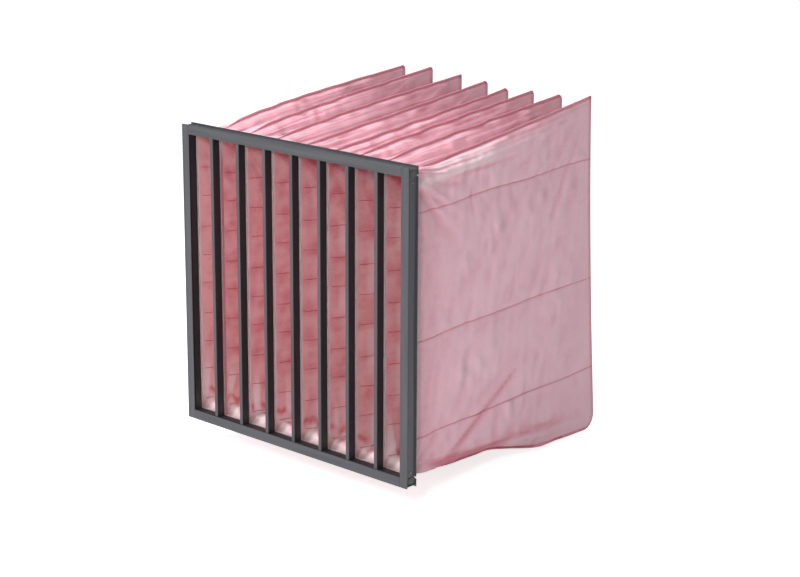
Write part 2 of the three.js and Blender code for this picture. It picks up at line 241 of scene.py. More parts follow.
def along(u, v, start, end):
    """Signed distance from the line between two points, and the share of the way along it."""
    (u0, v0), (u1, v1) = start, end
    length = np.hypot(u1 - u0, v1 - v0)
    du, dv = (u1 - u0) / length, (v1 - v0) / length
    return (v - v0) * du - (u - u0) * dv, ((u - u0) * du + (v - v0) * dv) / length


def fold(u, v, start, end, width, depth):
    """A crease that fades at both ends: a valley with a raised lip beside it."""
    across, share = along(u, v, start, end)
    fade = smooth(share * 4) * smooth((1 - share) * 3)
    return fade * depth * (0.55 * groove(across - 1.6 * width, 1.3 * width) - groove(across, width))


def fan(u, v, centre, seed, reach, rays, lean):
    """Drag folds that run out from a corner and die away with distance."""
    du, dv = u - centre[0], v - centre[1]
    distance = np.hypot(du, dv)
    turn = np.arctan2(dv, du) - lean
    rng = np.random.default_rng(seed)
    wave = sum((1 - 1.6 * np.abs(np.sin(rays * k * turn + rng.uniform(0, 6)))) / k for k in (0.5, 0.9, 1.4))
    fade = smooth(distance / (0.15 * reach)) * np.exp(-(distance / reach) ** 2) * np.exp(-(turn / 0.75) ** 2)
    return wave * fade


def panel_relief(form, side, y, z, p):
    """Height of the creases on one side panel; side is 1 on the right and -1 on the left."""
    seed = 100 * form["number"] + (7 if side > 0 else 31)
    ends = np.sin(np.pi * np.clip(p, 0, 1)) ** 0.5
    soft = 1.2 * ripples(y, z, seed, 170) + 0.5 * ripples(y, z, seed + 1, 70)
    patches = smooth(0.45 + 0.7 * ripples(y, z, seed + 3, 170))
    hanging = 0.85 * crumple(y, z, seed + 2, 90, lean=-0.28, spread=0.16) * patches
    hanging = hanging + 0.35 * ripples(y, z, seed + 11, 40, lean=-0.28, spread=0.3)
    creases = 0.8 * crumple(y, z, seed + 4, 55) * smooth(0.15 + 0.7 * ripples(y, z, seed + 5, 120))
    drag = 1.3 * fan(y, z, (form["reach"] + 12, form["top"] + 12), seed + 6, 290, 24, -2.15)
    heel = 1.4 * fan(y, z, (form["reach"] + form["heel"], -RIDGE_BOTTOM), seed + 7, 130, 6, 2.3)
    shoulder = 2.6 * fan(y, z, (HEADER_DEPTH - 12, RIDGE_START + 8), seed + 8, 150, 11, -0.45)
    foot = 1.8 * fan(y, z, (HEADER_DEPTH - 12, -RIDGE_START - 8), seed + 9, 130, 8, 0.45)
    gathers = 0.9 * ripples(y * 0.15, z, seed + 10, 17, lean=np.pi / 2, spread=0.2) * np.exp(-(y - HEADER_DEPTH) / 35)
    behind_header = smooth((y - HEADER_DEPTH) / 22)
    relief = (soft + hanging + creases) * ends + drag + heel + (shoulder + foot + gathers) * behind_header
    if form["number"] == len(POCKETS) and side > 0:
        away, share = along(y, z, *LONG_CREASE)
        quiet = groove(away, 30) * smooth(share * 4 + 0.5) * smooth((1.1 - share) * 4)
        relief = relief * (1 - 0.8 * quiet) + photographed_folds(y, z)
    return relief


def roof_pleats(form, side, p):
    """Pleats that gather the flat mouth into the ridge: waves across each roof that die away to the rear."""
    columns = len(FIN_SHARES) + len(ROOF_SHARES)
    q = np.zeros(LINE_INDEX[-1] + 1 + len(ZONES[-1]) + columns - 1)
    half = np.concatenate([0 * FIN_SHARES, ROOF_SHARES, np.linspace(1, 1.35, 6)[1:]])
    q[:len(half)], q[-len(half):] = half, half[::-1]
    rng = np.random.default_rng(900 + form["number"] * 2 + (side > 0))
    wave = 0
    for count, size in ((1.6, 1.0), (2.7, 0.8), (4.3, 0.45)):
        phase, drift = rng.uniform(0, 2 * np.pi), rng.uniform(-2.5, 2.5)
        wave = wave + size * (1 - 1.6 * np.abs(np.sin(np.pi * count * q + phase + drift * p)))
    window = smooth(q * 5) * smooth((1.35 - q) / 0.3)
    envelope = smooth(p / 0.035) * (np.exp(-((p - 0.05) / 0.2) ** 2) + 0.22)
    return 2.2 * wave * window * envelope


def photographed_folds(y, z):
    """The creases that stand out on the outermost right panel, and the rolls along its top and its lower edge."""
    upper_roll = 4.5 * groove(z - 254 - 0.11 * y, 12) * groove(y - 120, 110)
    lower_roll = 3.0 * groove(z + 288 + 0.09 * (y - 270), 10) * smooth((y - 230) / 90) * smooth((560 - y) / 40)
    return sum(fold(y, z, *crease) for crease in PANEL_FOLDS) + upper_roll + lower_roll


def panel_painted_shade_and_highlight(y, z):
    """Painted shade and painted highlight on the outermost right panel.

    Red, painted shade: the long crease, the lower edge, under the belly, small creases near the top, close behind
    the header and the slope under the ridge.
    White, painted highlight: the bright roll along the top.
    """
    away, share = along(y, z, *LONG_CREASE)
    # red is painted shade in creases and under rolls; white, below, is a painted highlight
    red = 0.7 * groove(away, mix(10, 5, np.clip(share, 0, 1))) * smooth(share * 3) * smooth((1 - share) * 5)
    red = red + 0.95 * smooth((-z - 259 - 0.06 * y) / 8) * smooth((y - 60) / 60) * smooth((330 - y) / 60)
    red = red + 0.55 * groove(z + 281 + 0.06 * (y - 301), 6) * smooth((y - 250) / 60) * smooth((500 - y) / 70)
    red = red + 0.5 * groove(y - 192, 4) * groove(z - 217, 11) + 0.5 * groove(y - 46, 12) * groove(z - 244, 14)
    red = red + 0.4 * groove(z - 257 - 0.04 * (y - 150), 3.5) * smooth((y - 110) / 40) * smooth((290 - y) / 60)
    red = red + 0.22 * smooth((190 - y) / 150) * smooth((262 - z) / 16)
    red = red + 0.45 * smooth((z - 266 - 0.12 * y) / 5) * smooth((360 - y) / 120)
    white = 0.6 * groove(z - 252 - 0.12 * y, 13) * smooth((360 - y) / 150)
    return red, white


# Pockets

def spaced(length, fine_start, fine_end):
    """Shares of a panel's height between two seams, close together beside a stitched one."""
    near = np.array([0.9, 2.0, 3.6, 6.0, 9.5])
    low = near if fine_start else np.array([7.0])
    high = length - near[::-1] if fine_end else np.array([length - 7.0])
    count = max(int((high[0] - low[-1]) / 7.5), 2)
    inner = np.linspace(low[-1], high[0], count + 1)[1:-1]
    return np.concatenate([low, inner, high, [length]]) / length


FIN_SHARES = np.array([0.0, 0.12, 0.55, 1.0])
ROOF_SHARES = np.linspace(0, 1, 19)[1:]
ZONES = (spaced(95, False, True), spaced(237, True, True), spaced(183, True, True), spaced(85, True, False))
LINE_INDEX = [len(FIN_SHARES) + len(ROOF_SHARES) + sum(len(z) for z in ZONES[:k + 1]) - 1 for k in range(3)]


def pocket_form(number):
    """Sizes of one pocket; its mouth fits the sleeve of its retainer."""
    mouth_low, mouth_high = (np.array(c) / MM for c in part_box(f"pocket_retainer_{number}"))
    return {
        "number": number,
        "mouth_x": (mouth_low[0] + mouth_high[0]) / 2,
        "mouth_half": (mouth_high[0] - mouth_low[0]) / 2 + COLLAR_REACH - SLEEVE_WALL,
        "seam_x": (number - (len(POCKETS) + 1) / 2) * SEAM_PITCH,
        **{name: values[number - 1] for name, values in POCKET_SIZES.items()},
    }


def depth_share(form, y):
    """Share of the way from the header to the upper rear corner."""
    return np.clip((y - HEADER_DEPTH) / (form["reach"] - HEADER_DEPTH), 0, 1)


def gable(q):
    """Run and fall of a slack roof, between a straight slope and a round arch."""
    turn = q * np.pi / 2
    return mix(q, np.sin(turn), 0.5), mix(q, 1 - np.cos(turn), 0.5)


def collar_half(form, inset):
    """Right half of the square collar: flat top, small corner, straight side, and the same below."""
    wide, tall = form["mouth_half"] - inset, OPEN_HALF_HEIGHT + COLLAR_REACH - inset
    corner = np.maximum(COLLAR_CORNER - inset, 0.3)
    flat = 0.6
    turn = np.clip((ROOF_SHARES - flat) / (1 - flat), 0, 1) * np.pi / 2
    straight = mix(2.0, wide - corner, np.minimum(ROOF_SHARES / flat, 1))
    roof_x = straight + corner * np.sin(turn)
    roof_z = tall - corner * (1 - np.cos(turn))
    fin_x = mix(0.3, 2.0, FIN_SHARES) + 0 * wide
    fin_z = tall + 0 * fin_x
    heights = [tall - corner, *(line + 0 * wide for line in STITCH_HEIGHTS), corner - tall]
    side_z = np.concatenate([mix(heights[k], heights[k + 1], z) for k, z in enumerate(ZONES)], 1)
    side_x = wide + 0 * side_z
    x = np.concatenate([fin_x, roof_x, side_x, roof_x[:, -2::-1], fin_x[:, ::-1]], 1)
    z = np.concatenate([fin_z, roof_z, side_z, -roof_z[:, -2::-1], -fin_z], 1)
    return x, z


def tent_half(form, p, inset, lining):
    """Right half of the sewn part: fin, gabled roof, panels that bulge between stitch lines, roof and fin again.

    The half width falls from the mouth to the rear seam as p to the power SWELL; the roof's fall keeps the
    fabric's length, so it grows as the pocket narrows.
    """
    width = mix(form["mouth_half"], SEAM_HALF, p ** SWELL)
    drop = ROOF_SLACK * np.sqrt(np.maximum(form["mouth_half"] ** 2 - width ** 2, 0)) + COLLAR_CORNER
    width = np.maximum(width - inset, 0.3 * width)
    fin = FIN_HEIGHT * smooth(p / TENT_FROM) + inset
    top = mix(RIDGE_START, form["top"], p ** form["rise"])
    hem = HEM_DROP * (1 - np.exp(-p / HEM_RUN))
    bottom = RIDGE_START + hem + BELLY_DROP * smooth((p - BELLY_FROM) / (BELLY_TO - BELLY_FROM))
    edge = 0.2 if lining else SEAM_HALF
    across, down = gable(ROOF_SHARES)
    waist = 1 - 0.3 * np.sin(np.pi * FIN_SHARES) * (not lining)
    round_top = np.where(FIN_SHARES == 0, 0.35, 1.0)
    fin_x = np.broadcast_to(edge * waist * round_top, (len(p), len(FIN_SHARES)))
    top_x, top_z = mix(edge, width, across), top - fin - drop * down
    bottom_z = -(bottom - fin - drop * down)
    start = fin if lining else 0.0
    upper_fin = top - mix(start, fin, FIN_SHARES)
    lower_fin = -(bottom - mix(start, fin, FIN_SHARES))
    if lining:
        upper_fin = upper_fin + (1 - FIN_SHARES) * 0.4
        lower_fin = lower_fin - (1 - FIN_SHARES) * 0.4
    side_x, side_z = side_points(form, p, width, top_z[:, -1:], bottom_z[:, -1:], lining)
    x = np.concatenate([fin_x, top_x, side_x, top_x[:, -2::-1], fin_x[:, ::-1]], 1)
    z = np.concatenate([upper_fin, top_z, side_z, bottom_z[:, -2::-1], lower_fin[:, ::-1]], 1)
    return x, z


def seam_heights(form, p):
    """Heights of the three stitch lines: they rise to the rear and waver by a millimetre."""
    phases = (0.3, 1.9, 4.1)
    return [height + rise * p + 1.3 * np.sin(14 * p + phase + form["number"])
            for height, rise, phase in zip(STITCH_HEIGHTS, STITCH_RISES, phases)]


def inner_line(form, p, y, number):
    """Height of one row of inner thread: it falls behind the mouth, then rises to the rear."""
    fall = LINE_FALL * (1 - np.exp(-np.maximum(y - HEADER_DEPTH, 0) / LINE_FALL_RUN))
    waver = 2.0 * np.sin(9 * p + 2.1 * number + form["number"])
    return STITCH_HEIGHTS[1] + 8 + INNER_LINES * number + STITCH_RISES[1] * p - fall + waver


def cushions(form, p, y, z):
    """One along the inner rows of thread and zero half way between them."""
    number = np.round((z - inner_line(form, p, y, 0)) / INNER_LINES)
    away = np.abs(z - inner_line(form, p, y, number)) / (INNER_LINES / 2)
    return (1 - np.clip(away, 0, 1)) ** 2


def side_points(form, p, width, top, bottom, lining):
    """Side panel between the shoulders: puffed between the three stitch lines and drawn in along them."""
    strength = np.sin(np.pi * p) ** 0.8 * (1 + 0.15 * np.sin(2 * (form["number"] - 1)))
    heights = [top, *seam_heights(form, p), bottom]
    xs, zs = [], []
    for k, shares in enumerate(ZONES):
        z = mix(heights[k], heights[k + 1], shares)
        open_ends = (shares if k == 0 else 1 - shares) if k in (0, len(ZONES) - 1) else 4 * shares * (1 - shares)
        arch = np.sin(np.pi * shares) ** 0.7 if k in (1, 2) else 1 - open_ends ** 2.5
        pinch = sum(groove(z - line, 2.6) * 1.5 + groove(z - line, 13) * 0.9 for line in heights[1:-1])
        xs.append(width + strength * 2.2 * (arch - 0.5) * (k in (1, 2)) - pinch * strength * (0.3 if lining else 1.0))
        zs.append(z)
    return np.concatenate(xs, 1), np.concatenate(zs, 1)


def corner_short(form, z):
    """How far the rounded rear corners fall short of the rear seam."""
    def short(distance, radius):
        inside = np.clip(radius - distance, 0, radius)
        return radius - np.sqrt(radius ** 2 - inside ** 2)
    return short(form["top"] - z, form["toe"]) + short(z + RIDGE_BOTTOM, HEEL_RADIUS)


def normals_of(grid, spread=0):
    """Unit normals of a grid of points, by the cross product of its two directions, averaged over near columns."""
    down, around = np.gradient(grid, axis=0), np.gradient(grid, axis=1)
    cross = np.cross(around, down)
    cross /= np.maximum(np.linalg.norm(cross, axis=2, keepdims=True), 1e-9)
    padded = np.pad(cross, ((0, 0), (spread, spread), (0, 0)), "edge")
    cross = sum(padded[:, k:k + grid.shape[1]] for k in range(2 * spread + 1))
    return cross / np.maximum(np.linalg.norm(cross, axis=2, keepdims=True), 1e-9)


def middle_line(form, y):
    """Middle of a pocket across the filter, from its mouth to its rear seam, with its sway."""
    p = depth_share(form, y)
    return mix(form["mouth_x"], form["seam_x"], p) + form["sway"] * np.sin(np.pi * p) ** 2


def half_surface(form, p, side, inset, lining):
    """One half of a pocket as a grid: rows from the header to the rear seam, columns from ridge to ridge.

    Where relief would push the skin into the pocket beside it, the room left to the plane half way between the
    two bends smoothly toward a small clearance instead.
    """
    square_x, square_z = collar_half(form, inset + 0 * p)
    tent_x, tent_z = tent_half(form, p, inset, lining)
    share = smooth(p / TENT_FROM)
    x, z = mix(square_x, tent_x, share), mix(square_z, tent_z, share)
    fallen = np.clip((form["top"] - z) / (form["top"] + RIDGE_BOTTOM), 0, 1)
    reach = form["reach"] + form["heel"] * fallen ** HEEL_SAG
    y = mix(HEADER_DEPTH + TENT_GAP, reach, p) - corner_short(form, z) * p ** 6
    if lining:
        ridge = cushions(form, p, y, z) * smooth((y - 28) / 14)
        sill = SILL_HEIGHT * groove(y - SILL_PLACE, SILL_RUN) * smooth((y - 26) / 14)
        z = z + sill * smooth((-z - 205) / 65)
    bow = form["sway"] * np.sin(np.pi * p) ** 2
    middle = mix(form["mouth_x"], form["seam_x"], p) + bow
    grid = np.stack([middle + side * x, y, z], -1)
    relief = panel_relief(form, side, y, z, p)
    relief = relief + roof_pleats(form, side, p) * (LINING_PLEATS if lining else 1.0)
    columns = np.arange(x.shape[1])
    in_fin = np.minimum(columns, columns[::-1]) < len(FIN_SHARES)
    free = np.where(in_fin, 0.0, smooth((x - 1.2) / 7)) * smooth(p / 0.06)
    pressed = np.clip(relief, FOLD_IN, FOLD_OUT) * free
    if lining:
        pressed = pressed * LINING_FOLDS - CUSHION * ridge * free
    normal = normals_of(grid, 6) * side
    normal = np.where((normal[..., :1] * side) < -0.2, -normal, normal)
    flutter = np.where(in_fin, 1.0, 0.0) * 1.4 * ripples(y, z, form["number"] * 9 + 5, 70) * share * (1 - p ** 3)
    grid = grid + normal * pressed[..., None]
    grid[..., 0] += flutter
    beside = form["number"] + side
    if beside in POCKETS and not lining:
        plane = (middle_line(form, y) + middle_line(pocket_form(beside), y)) / 2
        room = side * (plane - grid[..., 0])
        grid[..., 0] = plane - side * (room + CLEARANCE + np.hypot(room - CLEARANCE, 2 * CLEARANCE)) / 2
    return grid, relief * free, in_fin


def mouth_rows(grid):
    """Rows of the collar inside the header, in front of the first row."""
    rows = []
    for y in MOUTH_STEPS:
        row = grid[:1].copy()
        row[..., 1] = y
        rows.append(row)
    return np.concatenate(rows)


def pocket_shell(form, p, inset, lining):
    """Closed loops round a pocket, from its mouth to its rear, with the relief and what is fin."""
    right, relief_right, in_fin = half_surface(form, p, 1, inset, lining)
    left, relief_left, _ = half_surface(form, p, -1, inset, lining)
    loops = np.concatenate([right, left[:, ::-1]], 1)
    relief = np.concatenate([relief_right, relief_left[:, ::-1]], 1)
    loops = np.concatenate([mouth_rows(loops), loops])
    relief = np.concatenate([np.zeros((len(MOUTH_STEPS), relief.shape[1])), relief])
    fin = np.broadcast_to(np.concatenate([in_fin, in_fin[::-1]]), relief.shape)
    return loops, relief, fin


def fold_depth(relief):
    """Where the fabric is folded in: the relief below the mean of the nine rows and columns around it."""
    wide = relief
    for axis in (0, 1):
        wide = sum(np.roll(wide, k, axis) for k in range(-4, 5)) / 9
    return np.clip((wide - relief) / 1.2, 0, 1)


def wrinkles(form, y, z):
    """How strongly fine creases show: most near the top of the mouth and the upper rear corner."""
    near_mouth = np.exp(-(y - HEADER_DEPTH) / 110) * smooth((z - 190) / 60)
    corner = np.exp(-(np.hypot(y - form["reach"], z - form["top"]) / 190) ** 2)
    return 0.3 + 0.9 * near_mouth + 0.5 * corner + 0.25 * ripples(y, z, form["number"] + 70, 150)


def skin_tones(form, rows, loops, relief, fin):
    """Four tones from 0 to 1 at each point of the outside.

    Red tone: how red a seam or fin is, and painted shade in folds, in the valleys between pockets and under the
    ridges. Pale tone: painted highlight, the bright roll on the outermost right panel. Wrinkled: how strongly fine
    creases show. Grey tone: painted shadow of the header, close behind it.
    """
    x, y, z = np.moveaxis(loops, -1, 0)
    p = depth_share(form, y)
    along_pocket = np.concatenate([np.zeros((len(MOUTH_STEPS), 1)), rows])
    lines = sum(groove(z - height, 1.5) for height in seam_heights(form, along_pocket))
    hem = fin * smooth(p / 0.05)
    rear = np.zeros_like(y)
    rear[-2:] = 1.0
    middle = mix(form["mouth_x"], form["seam_x"], p)
    outer = (form["number"] == 1) * (x < middle) + (form["number"] == len(POCKETS)) * (x > middle)
    ridge = mix(RIDGE_START, form["top"], p ** form["rise"])
    # valley and second: painted shade in the valleys between pockets and in a band just under each ridge
    valley = (0.03 + smooth((ridge - z - 8) / 45) * 0.75) * (1 - outer)
    second = 0.5 * groove(ridge - z - 12.5, 4) * smooth(p / 0.05) * smooth((1.15 - p) / 0.5)
    # Shade is painted into folds, the valleys and under the ridge; the fin, rear seam and stitch lines are redder in
    # their own colour
    redness_and_painted_light = 0.24 * fold_depth(relief) + 0.6 * hem + 0.5 * rear + valley + second + 0.5 * lines * smooth(p / 0.03)
    pale = np.zeros_like(redness_and_painted_light)
    # Painted shade and painted highlight on the outermost right panel
    if form["number"] == len(POCKETS):
        red, white = panel_painted_shade_and_highlight(y, z)
        redness_and_painted_light, pale = redness_and_painted_light + red * (x > middle), white * (x > middle)
    wrinkled = wrinkles(form, y, z) * (1 - 0.8 * fin)
    # painted shadow of the header on the fabric close behind it
    painted_shade = 0.2 * smooth((120 - y) / 80) * smooth((255 - z) / 30)
    return [np.clip(tone, 0, 1) for tone in (redness_and_painted_light, pale, wrinkled, painted_shade)]


def lining_tones(form, loops, relief):
    """The same four tones on the inside.

    Red tone: painted shade to the rear, along the inner rows of thread, in folds and in a crease above the floor's
    edge, and painted light coming through high in the pockets to the right; the first pocket and the low front are
    less red, as painted light. Pale tone: the white cut lip of the mouth, and painted light on the floor, in streaks
    low on the walls and in a band in the pockets to the right. Grey tone: painted shade in the pockets to the right
    and on the front of the floor.
    """
    x, y, z = np.moveaxis(loops, -1, 0)
    number = form["number"]
    p = depth_share(form, y)
    across = (x - mix(form["mouth_x"], form["seam_x"], p)) / form["mouth_half"]
    near = smooth((150 - y) / 70)
    low = smooth((-z - 150) / 90) * near
    edge = -266 + 16 * across ** 2 + 3.5 * ripples(x, y, number + 300, 30)
    # Painted shade to the rear, along thread rows, in folds and above the floor; painted light high in right pockets
    # and in pocket 1
    redness_and_painted_light = 0.16 + 0.5 * smooth(p / 0.5) + 0.35 * cushions(form, p, y, z) + 0.25 * fold_depth(relief * 3)
    redness_and_painted_light = redness_and_painted_light + 0.1 * ripples(y, z, number + 360, 38) - 0.3 * (number == 1)
    redness_and_painted_light = redness_and_painted_light + 0.35 * smooth((z - 225) / 30) * smooth((number - 4) / 2)
    redness_and_painted_light = redness_and_painted_light * (1 - 0.4 * low) + groove(z - edge - 8, 5) * near * smooth((z + 268) / 8)
    # The lip is the fabric's white cut edge; the floor, streaks and band are painted light
    lip = smooth((30 - y) / 6) * smooth((z + 262) / 12)
    floor = smooth((edge - z) / 6) * near * smooth((1.05 - np.abs(across)) / 0.2)
    streaks = smooth(0.9 * ripples(0.6 * y, 0.12 * z, number + 320, 24) - 0.1)
    shine = smooth(0.6 + 0.5 * ripples(y, z, number + 340, 120))
    band = smooth((y - 44) / 16) * smooth((number - 3.5) / 3) * shine
    pale = np.maximum.reduce([0.85 * lip, 0.95 * floor, 0.85 * streaks * low, 0.55 * band * near])
    wrinkled = 0.3 * wrinkles(form, y, z) + 0.8 * smooth((-z - 200) / 60)
    # painted shade: darker in the pockets to the right and on the front of the floor under the retainer
    painted_shade = 0.035 * max(number - 3, 0) + 0.5 * smooth((37 - y) / 8) * smooth((-z - 262) / 8)
    return [np.clip(tone, 0, 1) for tone in (redness_and_painted_light, pale, wrinkled, painted_shade)]


def make_pocket(number, material):
    """Hollow pocket: skin and lining joined at the mouth, each closed across at the rear seam."""
    form = pocket_form(number)
    p = (np.linspace(0, 1, ROWS) ** CROWDING)[:, None]
    skin, skin_relief, fin = pocket_shell(form, p, 0.0, False)
    end = 1 - SEAM_WIDTH / (form["reach"] - HEADER_DEPTH)
    inner_p = np.concatenate([np.linspace(0, LINING_FINE, LINING_ROWS[0]),
                              np.linspace(LINING_FINE, end, LINING_ROWS[1])[1:]])[:, None]
    depth = mix(FABRIC_WALL, LINING_DEPTH, smooth(inner_p / LINING_SETTLED))
    lining, lining_relief, _ = pocket_shell(form, inner_p, depth, True)
    around = skin.shape[1]
    count = skin.shape[0] * around
    inside = ring_faces(lining.shape[0], around, count)[:, ::-1]
    i = np.arange(around)
    rim = np.stack([i, i + count, (i + 1) % around + count, (i + 1) % around], -1)
    faces = np.concatenate([
        ring_faces(skin.shape[0], around), strip_faces(count - around, around),
        inside, strip_faces(count + (lining.shape[0] - 1) * around, around)[:, ::-1], rim,
    ])
    outside = skin_tones(form, p, skin, skin_relief, fin)
    within = lining_tones(form, lining, lining_relief)
    points = np.concatenate([skin.reshape(-1, 3), lining.reshape(-1, 3)])
    tones = [(label, np.concatenate([outer.ravel(), inner.ravel()]))
             for label, outer, inner in zip(("redness_and_painted_light", "pale", "wrinkled", "painted_shade"), outside, within)]
    tones.append(("lining", np.repeat([0.0, 1.0], [count, lining.shape[0] * around])))
    piece = new_piece(f"pocket_fabric_{number}", points, faces, material, tones)
    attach(piece, BODY)
    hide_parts(f"pocket_{number}")
    return form, skin


# Materials

# The deep colours are seam red and painted shade; coral lining stands in for light through the fabric; off-white is
# the cut edge and painted light; the dusk tint is painted shade
SKIN_PALE, SKIN_DEEP, SKIN_CLOUD = srgb(236, 192, 205), srgb(204, 92, 114), srgb(222, 164, 180)
CORAL_PALE, CORAL_DEEP = srgb(232, 174, 178), srgb(204, 94, 106)
OFF_WHITE, PAINTED_SHADE_TINT = srgb(240, 222, 224), srgb(112, 80, 82)
FIBRE_LIGHT, FIBRE_DARK = srgb(236, 205, 209), srgb(176, 112, 124)
THREAD_LIGHT, THREAD_DARK = srgb(206, 92, 110), srgb(184, 62, 82)
HEM_DARK, HEM_LIGHT = srgb(158, 142, 144), srgb(196, 184, 185)
HEADER_GREY = srgb(69, 70, 75), srgb(56, 57, 62)
RETAINER_BLACK = srgb(34, 34, 38), srgb(26, 26, 30)
KEY_GREY = srgb(70, 76, 73), srgb(56, 62, 60)
METAL_LIGHT, METAL_DARK = srgb(120, 122, 126), srgb(92, 94, 98)
FLOOR_GREY = srgb(236, 236, 236)


class Nodes:
    """Short way to place and link shader nodes in one material."""

    def __init__(self, name):
        self.material = bpy.data.materials.new(name)
        self.material.use_nodes = True
        self.tree = self.material.node_tree
        self.shader = self.tree.nodes["Principled BSDF"]

    def add(self, kind, **values):
        node = self.tree.nodes.new(kind)
        for key, value in values.items():
            if key in node.inputs:
                node.inputs[key].default_value = value
            else:
                setattr(node, key, value)
        return node

    def link(self, source, target):
        self.tree.links.new(source, target)

    def noise(self, scale, detail, stretch=(1, 1, 1), kind="FBM"):
        """Noise on object coordinates, in cycles per metre, stretched along an axis by a small factor there."""
        place = self.add("ShaderNodeTexCoord")
        mapping = self.add("ShaderNodeMapping")
        mapping.inputs["Scale"].default_value = stretch
        texture = self.add("ShaderNodeTexNoise", noise_type=kind, Scale=scale, Detail=detail)
        self.link(place.outputs["Object"], mapping.inputs["Vector"])
        self.link(mapping.outputs["Vector"], texture.inputs["Vector"])
        return texture.outputs["Fac"]

    def blend(self, share, low, high):
        """Mix of two colours, given as values or as sockets."""
        node = self.add("ShaderNodeMix", data_type="RGBA")
        sockets = {s.identifier: s for s in node.inputs}
        for key, value in (("Factor_Float", share), ("A_Color", low), ("B_Color", high)):
            if isinstance(value, bpy.types.NodeSocket):
                self.link(value, sockets[key])
            else:
                sockets[key].default_value = value
        return [s for s in node.outputs if s.identifier == "Result_Color"][0]

    def remap(self, source, low, high, to_low, to_high):
        node = self.add("ShaderNodeMapRange")
        for key, value in (("From Min", low), ("From Max", high), ("To Min", to_low), ("To Max", to_high)):
            node.inputs[key].default_value = value
        self.link(source, node.inputs["Value"])
        return node.outputs["Result"]

    def product(self, first, second):
        node = self.add("ShaderNodeMath", operation="MULTIPLY")
        self.link(first, node.inputs[0])
        self.link(second, node.inputs[1])
        return node.outputs["Value"]

    def bump(self, height, strength, distance, under=None):
        node = self.add("ShaderNodeBump", Strength=strength, Distance=distance)
        self.link(height, node.inputs["Height"])
        if under is not None:
            self.link(under, node.inputs["Normal"])
        return node.outputs["Normal"]

    def attribute(self, name):
        return self.add("ShaderNodeAttribute", attribute_name=name).outputs["Fac"]

    def finish(self, colour, normal, roughness, **constants):
        self.link(colour, self.shader.inputs["Base Color"])
        self.link(normal, self.shader.inputs["Normal"])
        if isinstance(roughness, bpy.types.NodeSocket):
            self.link(roughness, self.shader.inputs["Roughness"])
        else:
            self.shader.inputs["Roughness"].default_value = roughness
        for key, value in constants.items():
            self.shader.inputs[key].default_value = value
        return self.material


def fabric_material():
    """Pink nonwoven: pale skin, redder seams, painted shade in folds, coral lining as painted light through the
    fabric, off-white painted light on the floor, fibres in two directions.
    """
    n = Nodes("pocket fabric")
    fibre_a = n.noise(420, 3, (1, 0.25, 1.6))
    fibre_b = n.noise(520, 3, (1.3, 1.5, 0.3))
    cloud = n.noise(14, 4)
    redness_and_painted_light = n.attribute("redness_and_painted_light")
    # Red tone: seam red and painted shade; the coral lining colours stand in for light coming through the fabric
    colour = n.blend(redness_and_painted_light, SKIN_PALE, SKIN_DEEP)
    colour = n.blend(n.remap(cloud, 0.35, 0.7, 0, 0.28), colour, SKIN_CLOUD)
    colour = n.blend(n.attribute("lining"), colour, n.blend(redness_and_painted_light, CORAL_PALE, CORAL_DEEP))
    # Pale tone: the white cut edge, and painted highlights and painted light on the floor and walls
    colour = n.blend(n.attribute("pale"), colour, OFF_WHITE)
    # Grey tone: painted shade
    colour = n.blend(n.attribute("painted_shade"), colour, PAINTED_SHADE_TINT)
    colour = n.blend(n.remap(fibre_a, 0.4, 0.66, 0, 0.16), colour, FIBRE_LIGHT)
    colour = n.blend(n.remap(fibre_b, 0.36, 0.5, 0.1, 0), colour, FIBRE_DARK)
    creases = n.noise(26, 2.5, (1, 0.8, 0.7), "RIDGED_MULTIFRACTAL")
    normal = n.bump(n.product(creases, n.attribute("wrinkled")), 1.0, 0.015)
    normal = n.bump(fibre_a, 0.35, 0.0006, normal)
    normal = n.bump(fibre_b, 0.3, 0.0005, normal)
    return n.finish(colour, normal, 0.62, **{"Sheen Weight": 0.25, "Sheen Roughness": 0.45,
                                            "Specular IOR Level": 0.5})


def plastic_material(name, colours, roughness, stretch):
    """Moulded plastic of a light and a dark colour: faint flow marks along the piece and a fine matt grain."""
    n = Nodes(name)
    flow = n.noise(90, 4, stretch)
    grain = n.noise(1500, 2)
    tint = n.blend(n.remap(flow, 0.35, 0.65, 0, 1), *colours)
    normal = n.bump(grain, 0.12, 0.0002)
    normal = n.bump(flow, 0.12, 0.0004, normal)
    return n.finish(tint, normal, n.remap(flow, 0.3, 0.7, roughness - 0.05, roughness + 0.07))


def metal_material():
    """Dull rivet metal, worn unevenly."""
    n = Nodes("rivet metal")
    wear = n.noise(900, 3)
    tint = n.blend(n.remap(wear, 0.3, 0.7, 0, 1), METAL_LIGHT, METAL_DARK)
    return n.finish(tint, n.bump(wear, 0.15, 0.0001), n.remap(wear, 0.3, 0.7, 0.35, 0.5), Metallic=0.9)


def thread_material():
    """Red sewing thread with a fine twist."""
    n = Nodes("sewing thread")
    twist = n.noise(1800, 2)
    tint = n.blend(n.remap(twist, 0.3, 0.7, 0, 1), THREAD_LIGHT, THREAD_DARK)
    return n.finish(tint, n.bump(twist, 0.3, 0.0002), 0.7, **{"Sheen Weight": 0.2})


def hem_material():
    """Greyish white, fibrous turned edge."""
    n = Nodes("turned hem")
    fibre = n.noise(600, 3)
    tint = n.blend(n.remap(fibre, 0.35, 0.65, 0, 1), HEM_DARK, HEM_LIGHT)
    return n.finish(tint, n.bump(fibre, 0.5, 0.0006), 0.9, **{"Sheen Weight": 0.2})


# Header, bars, retainers and rivets

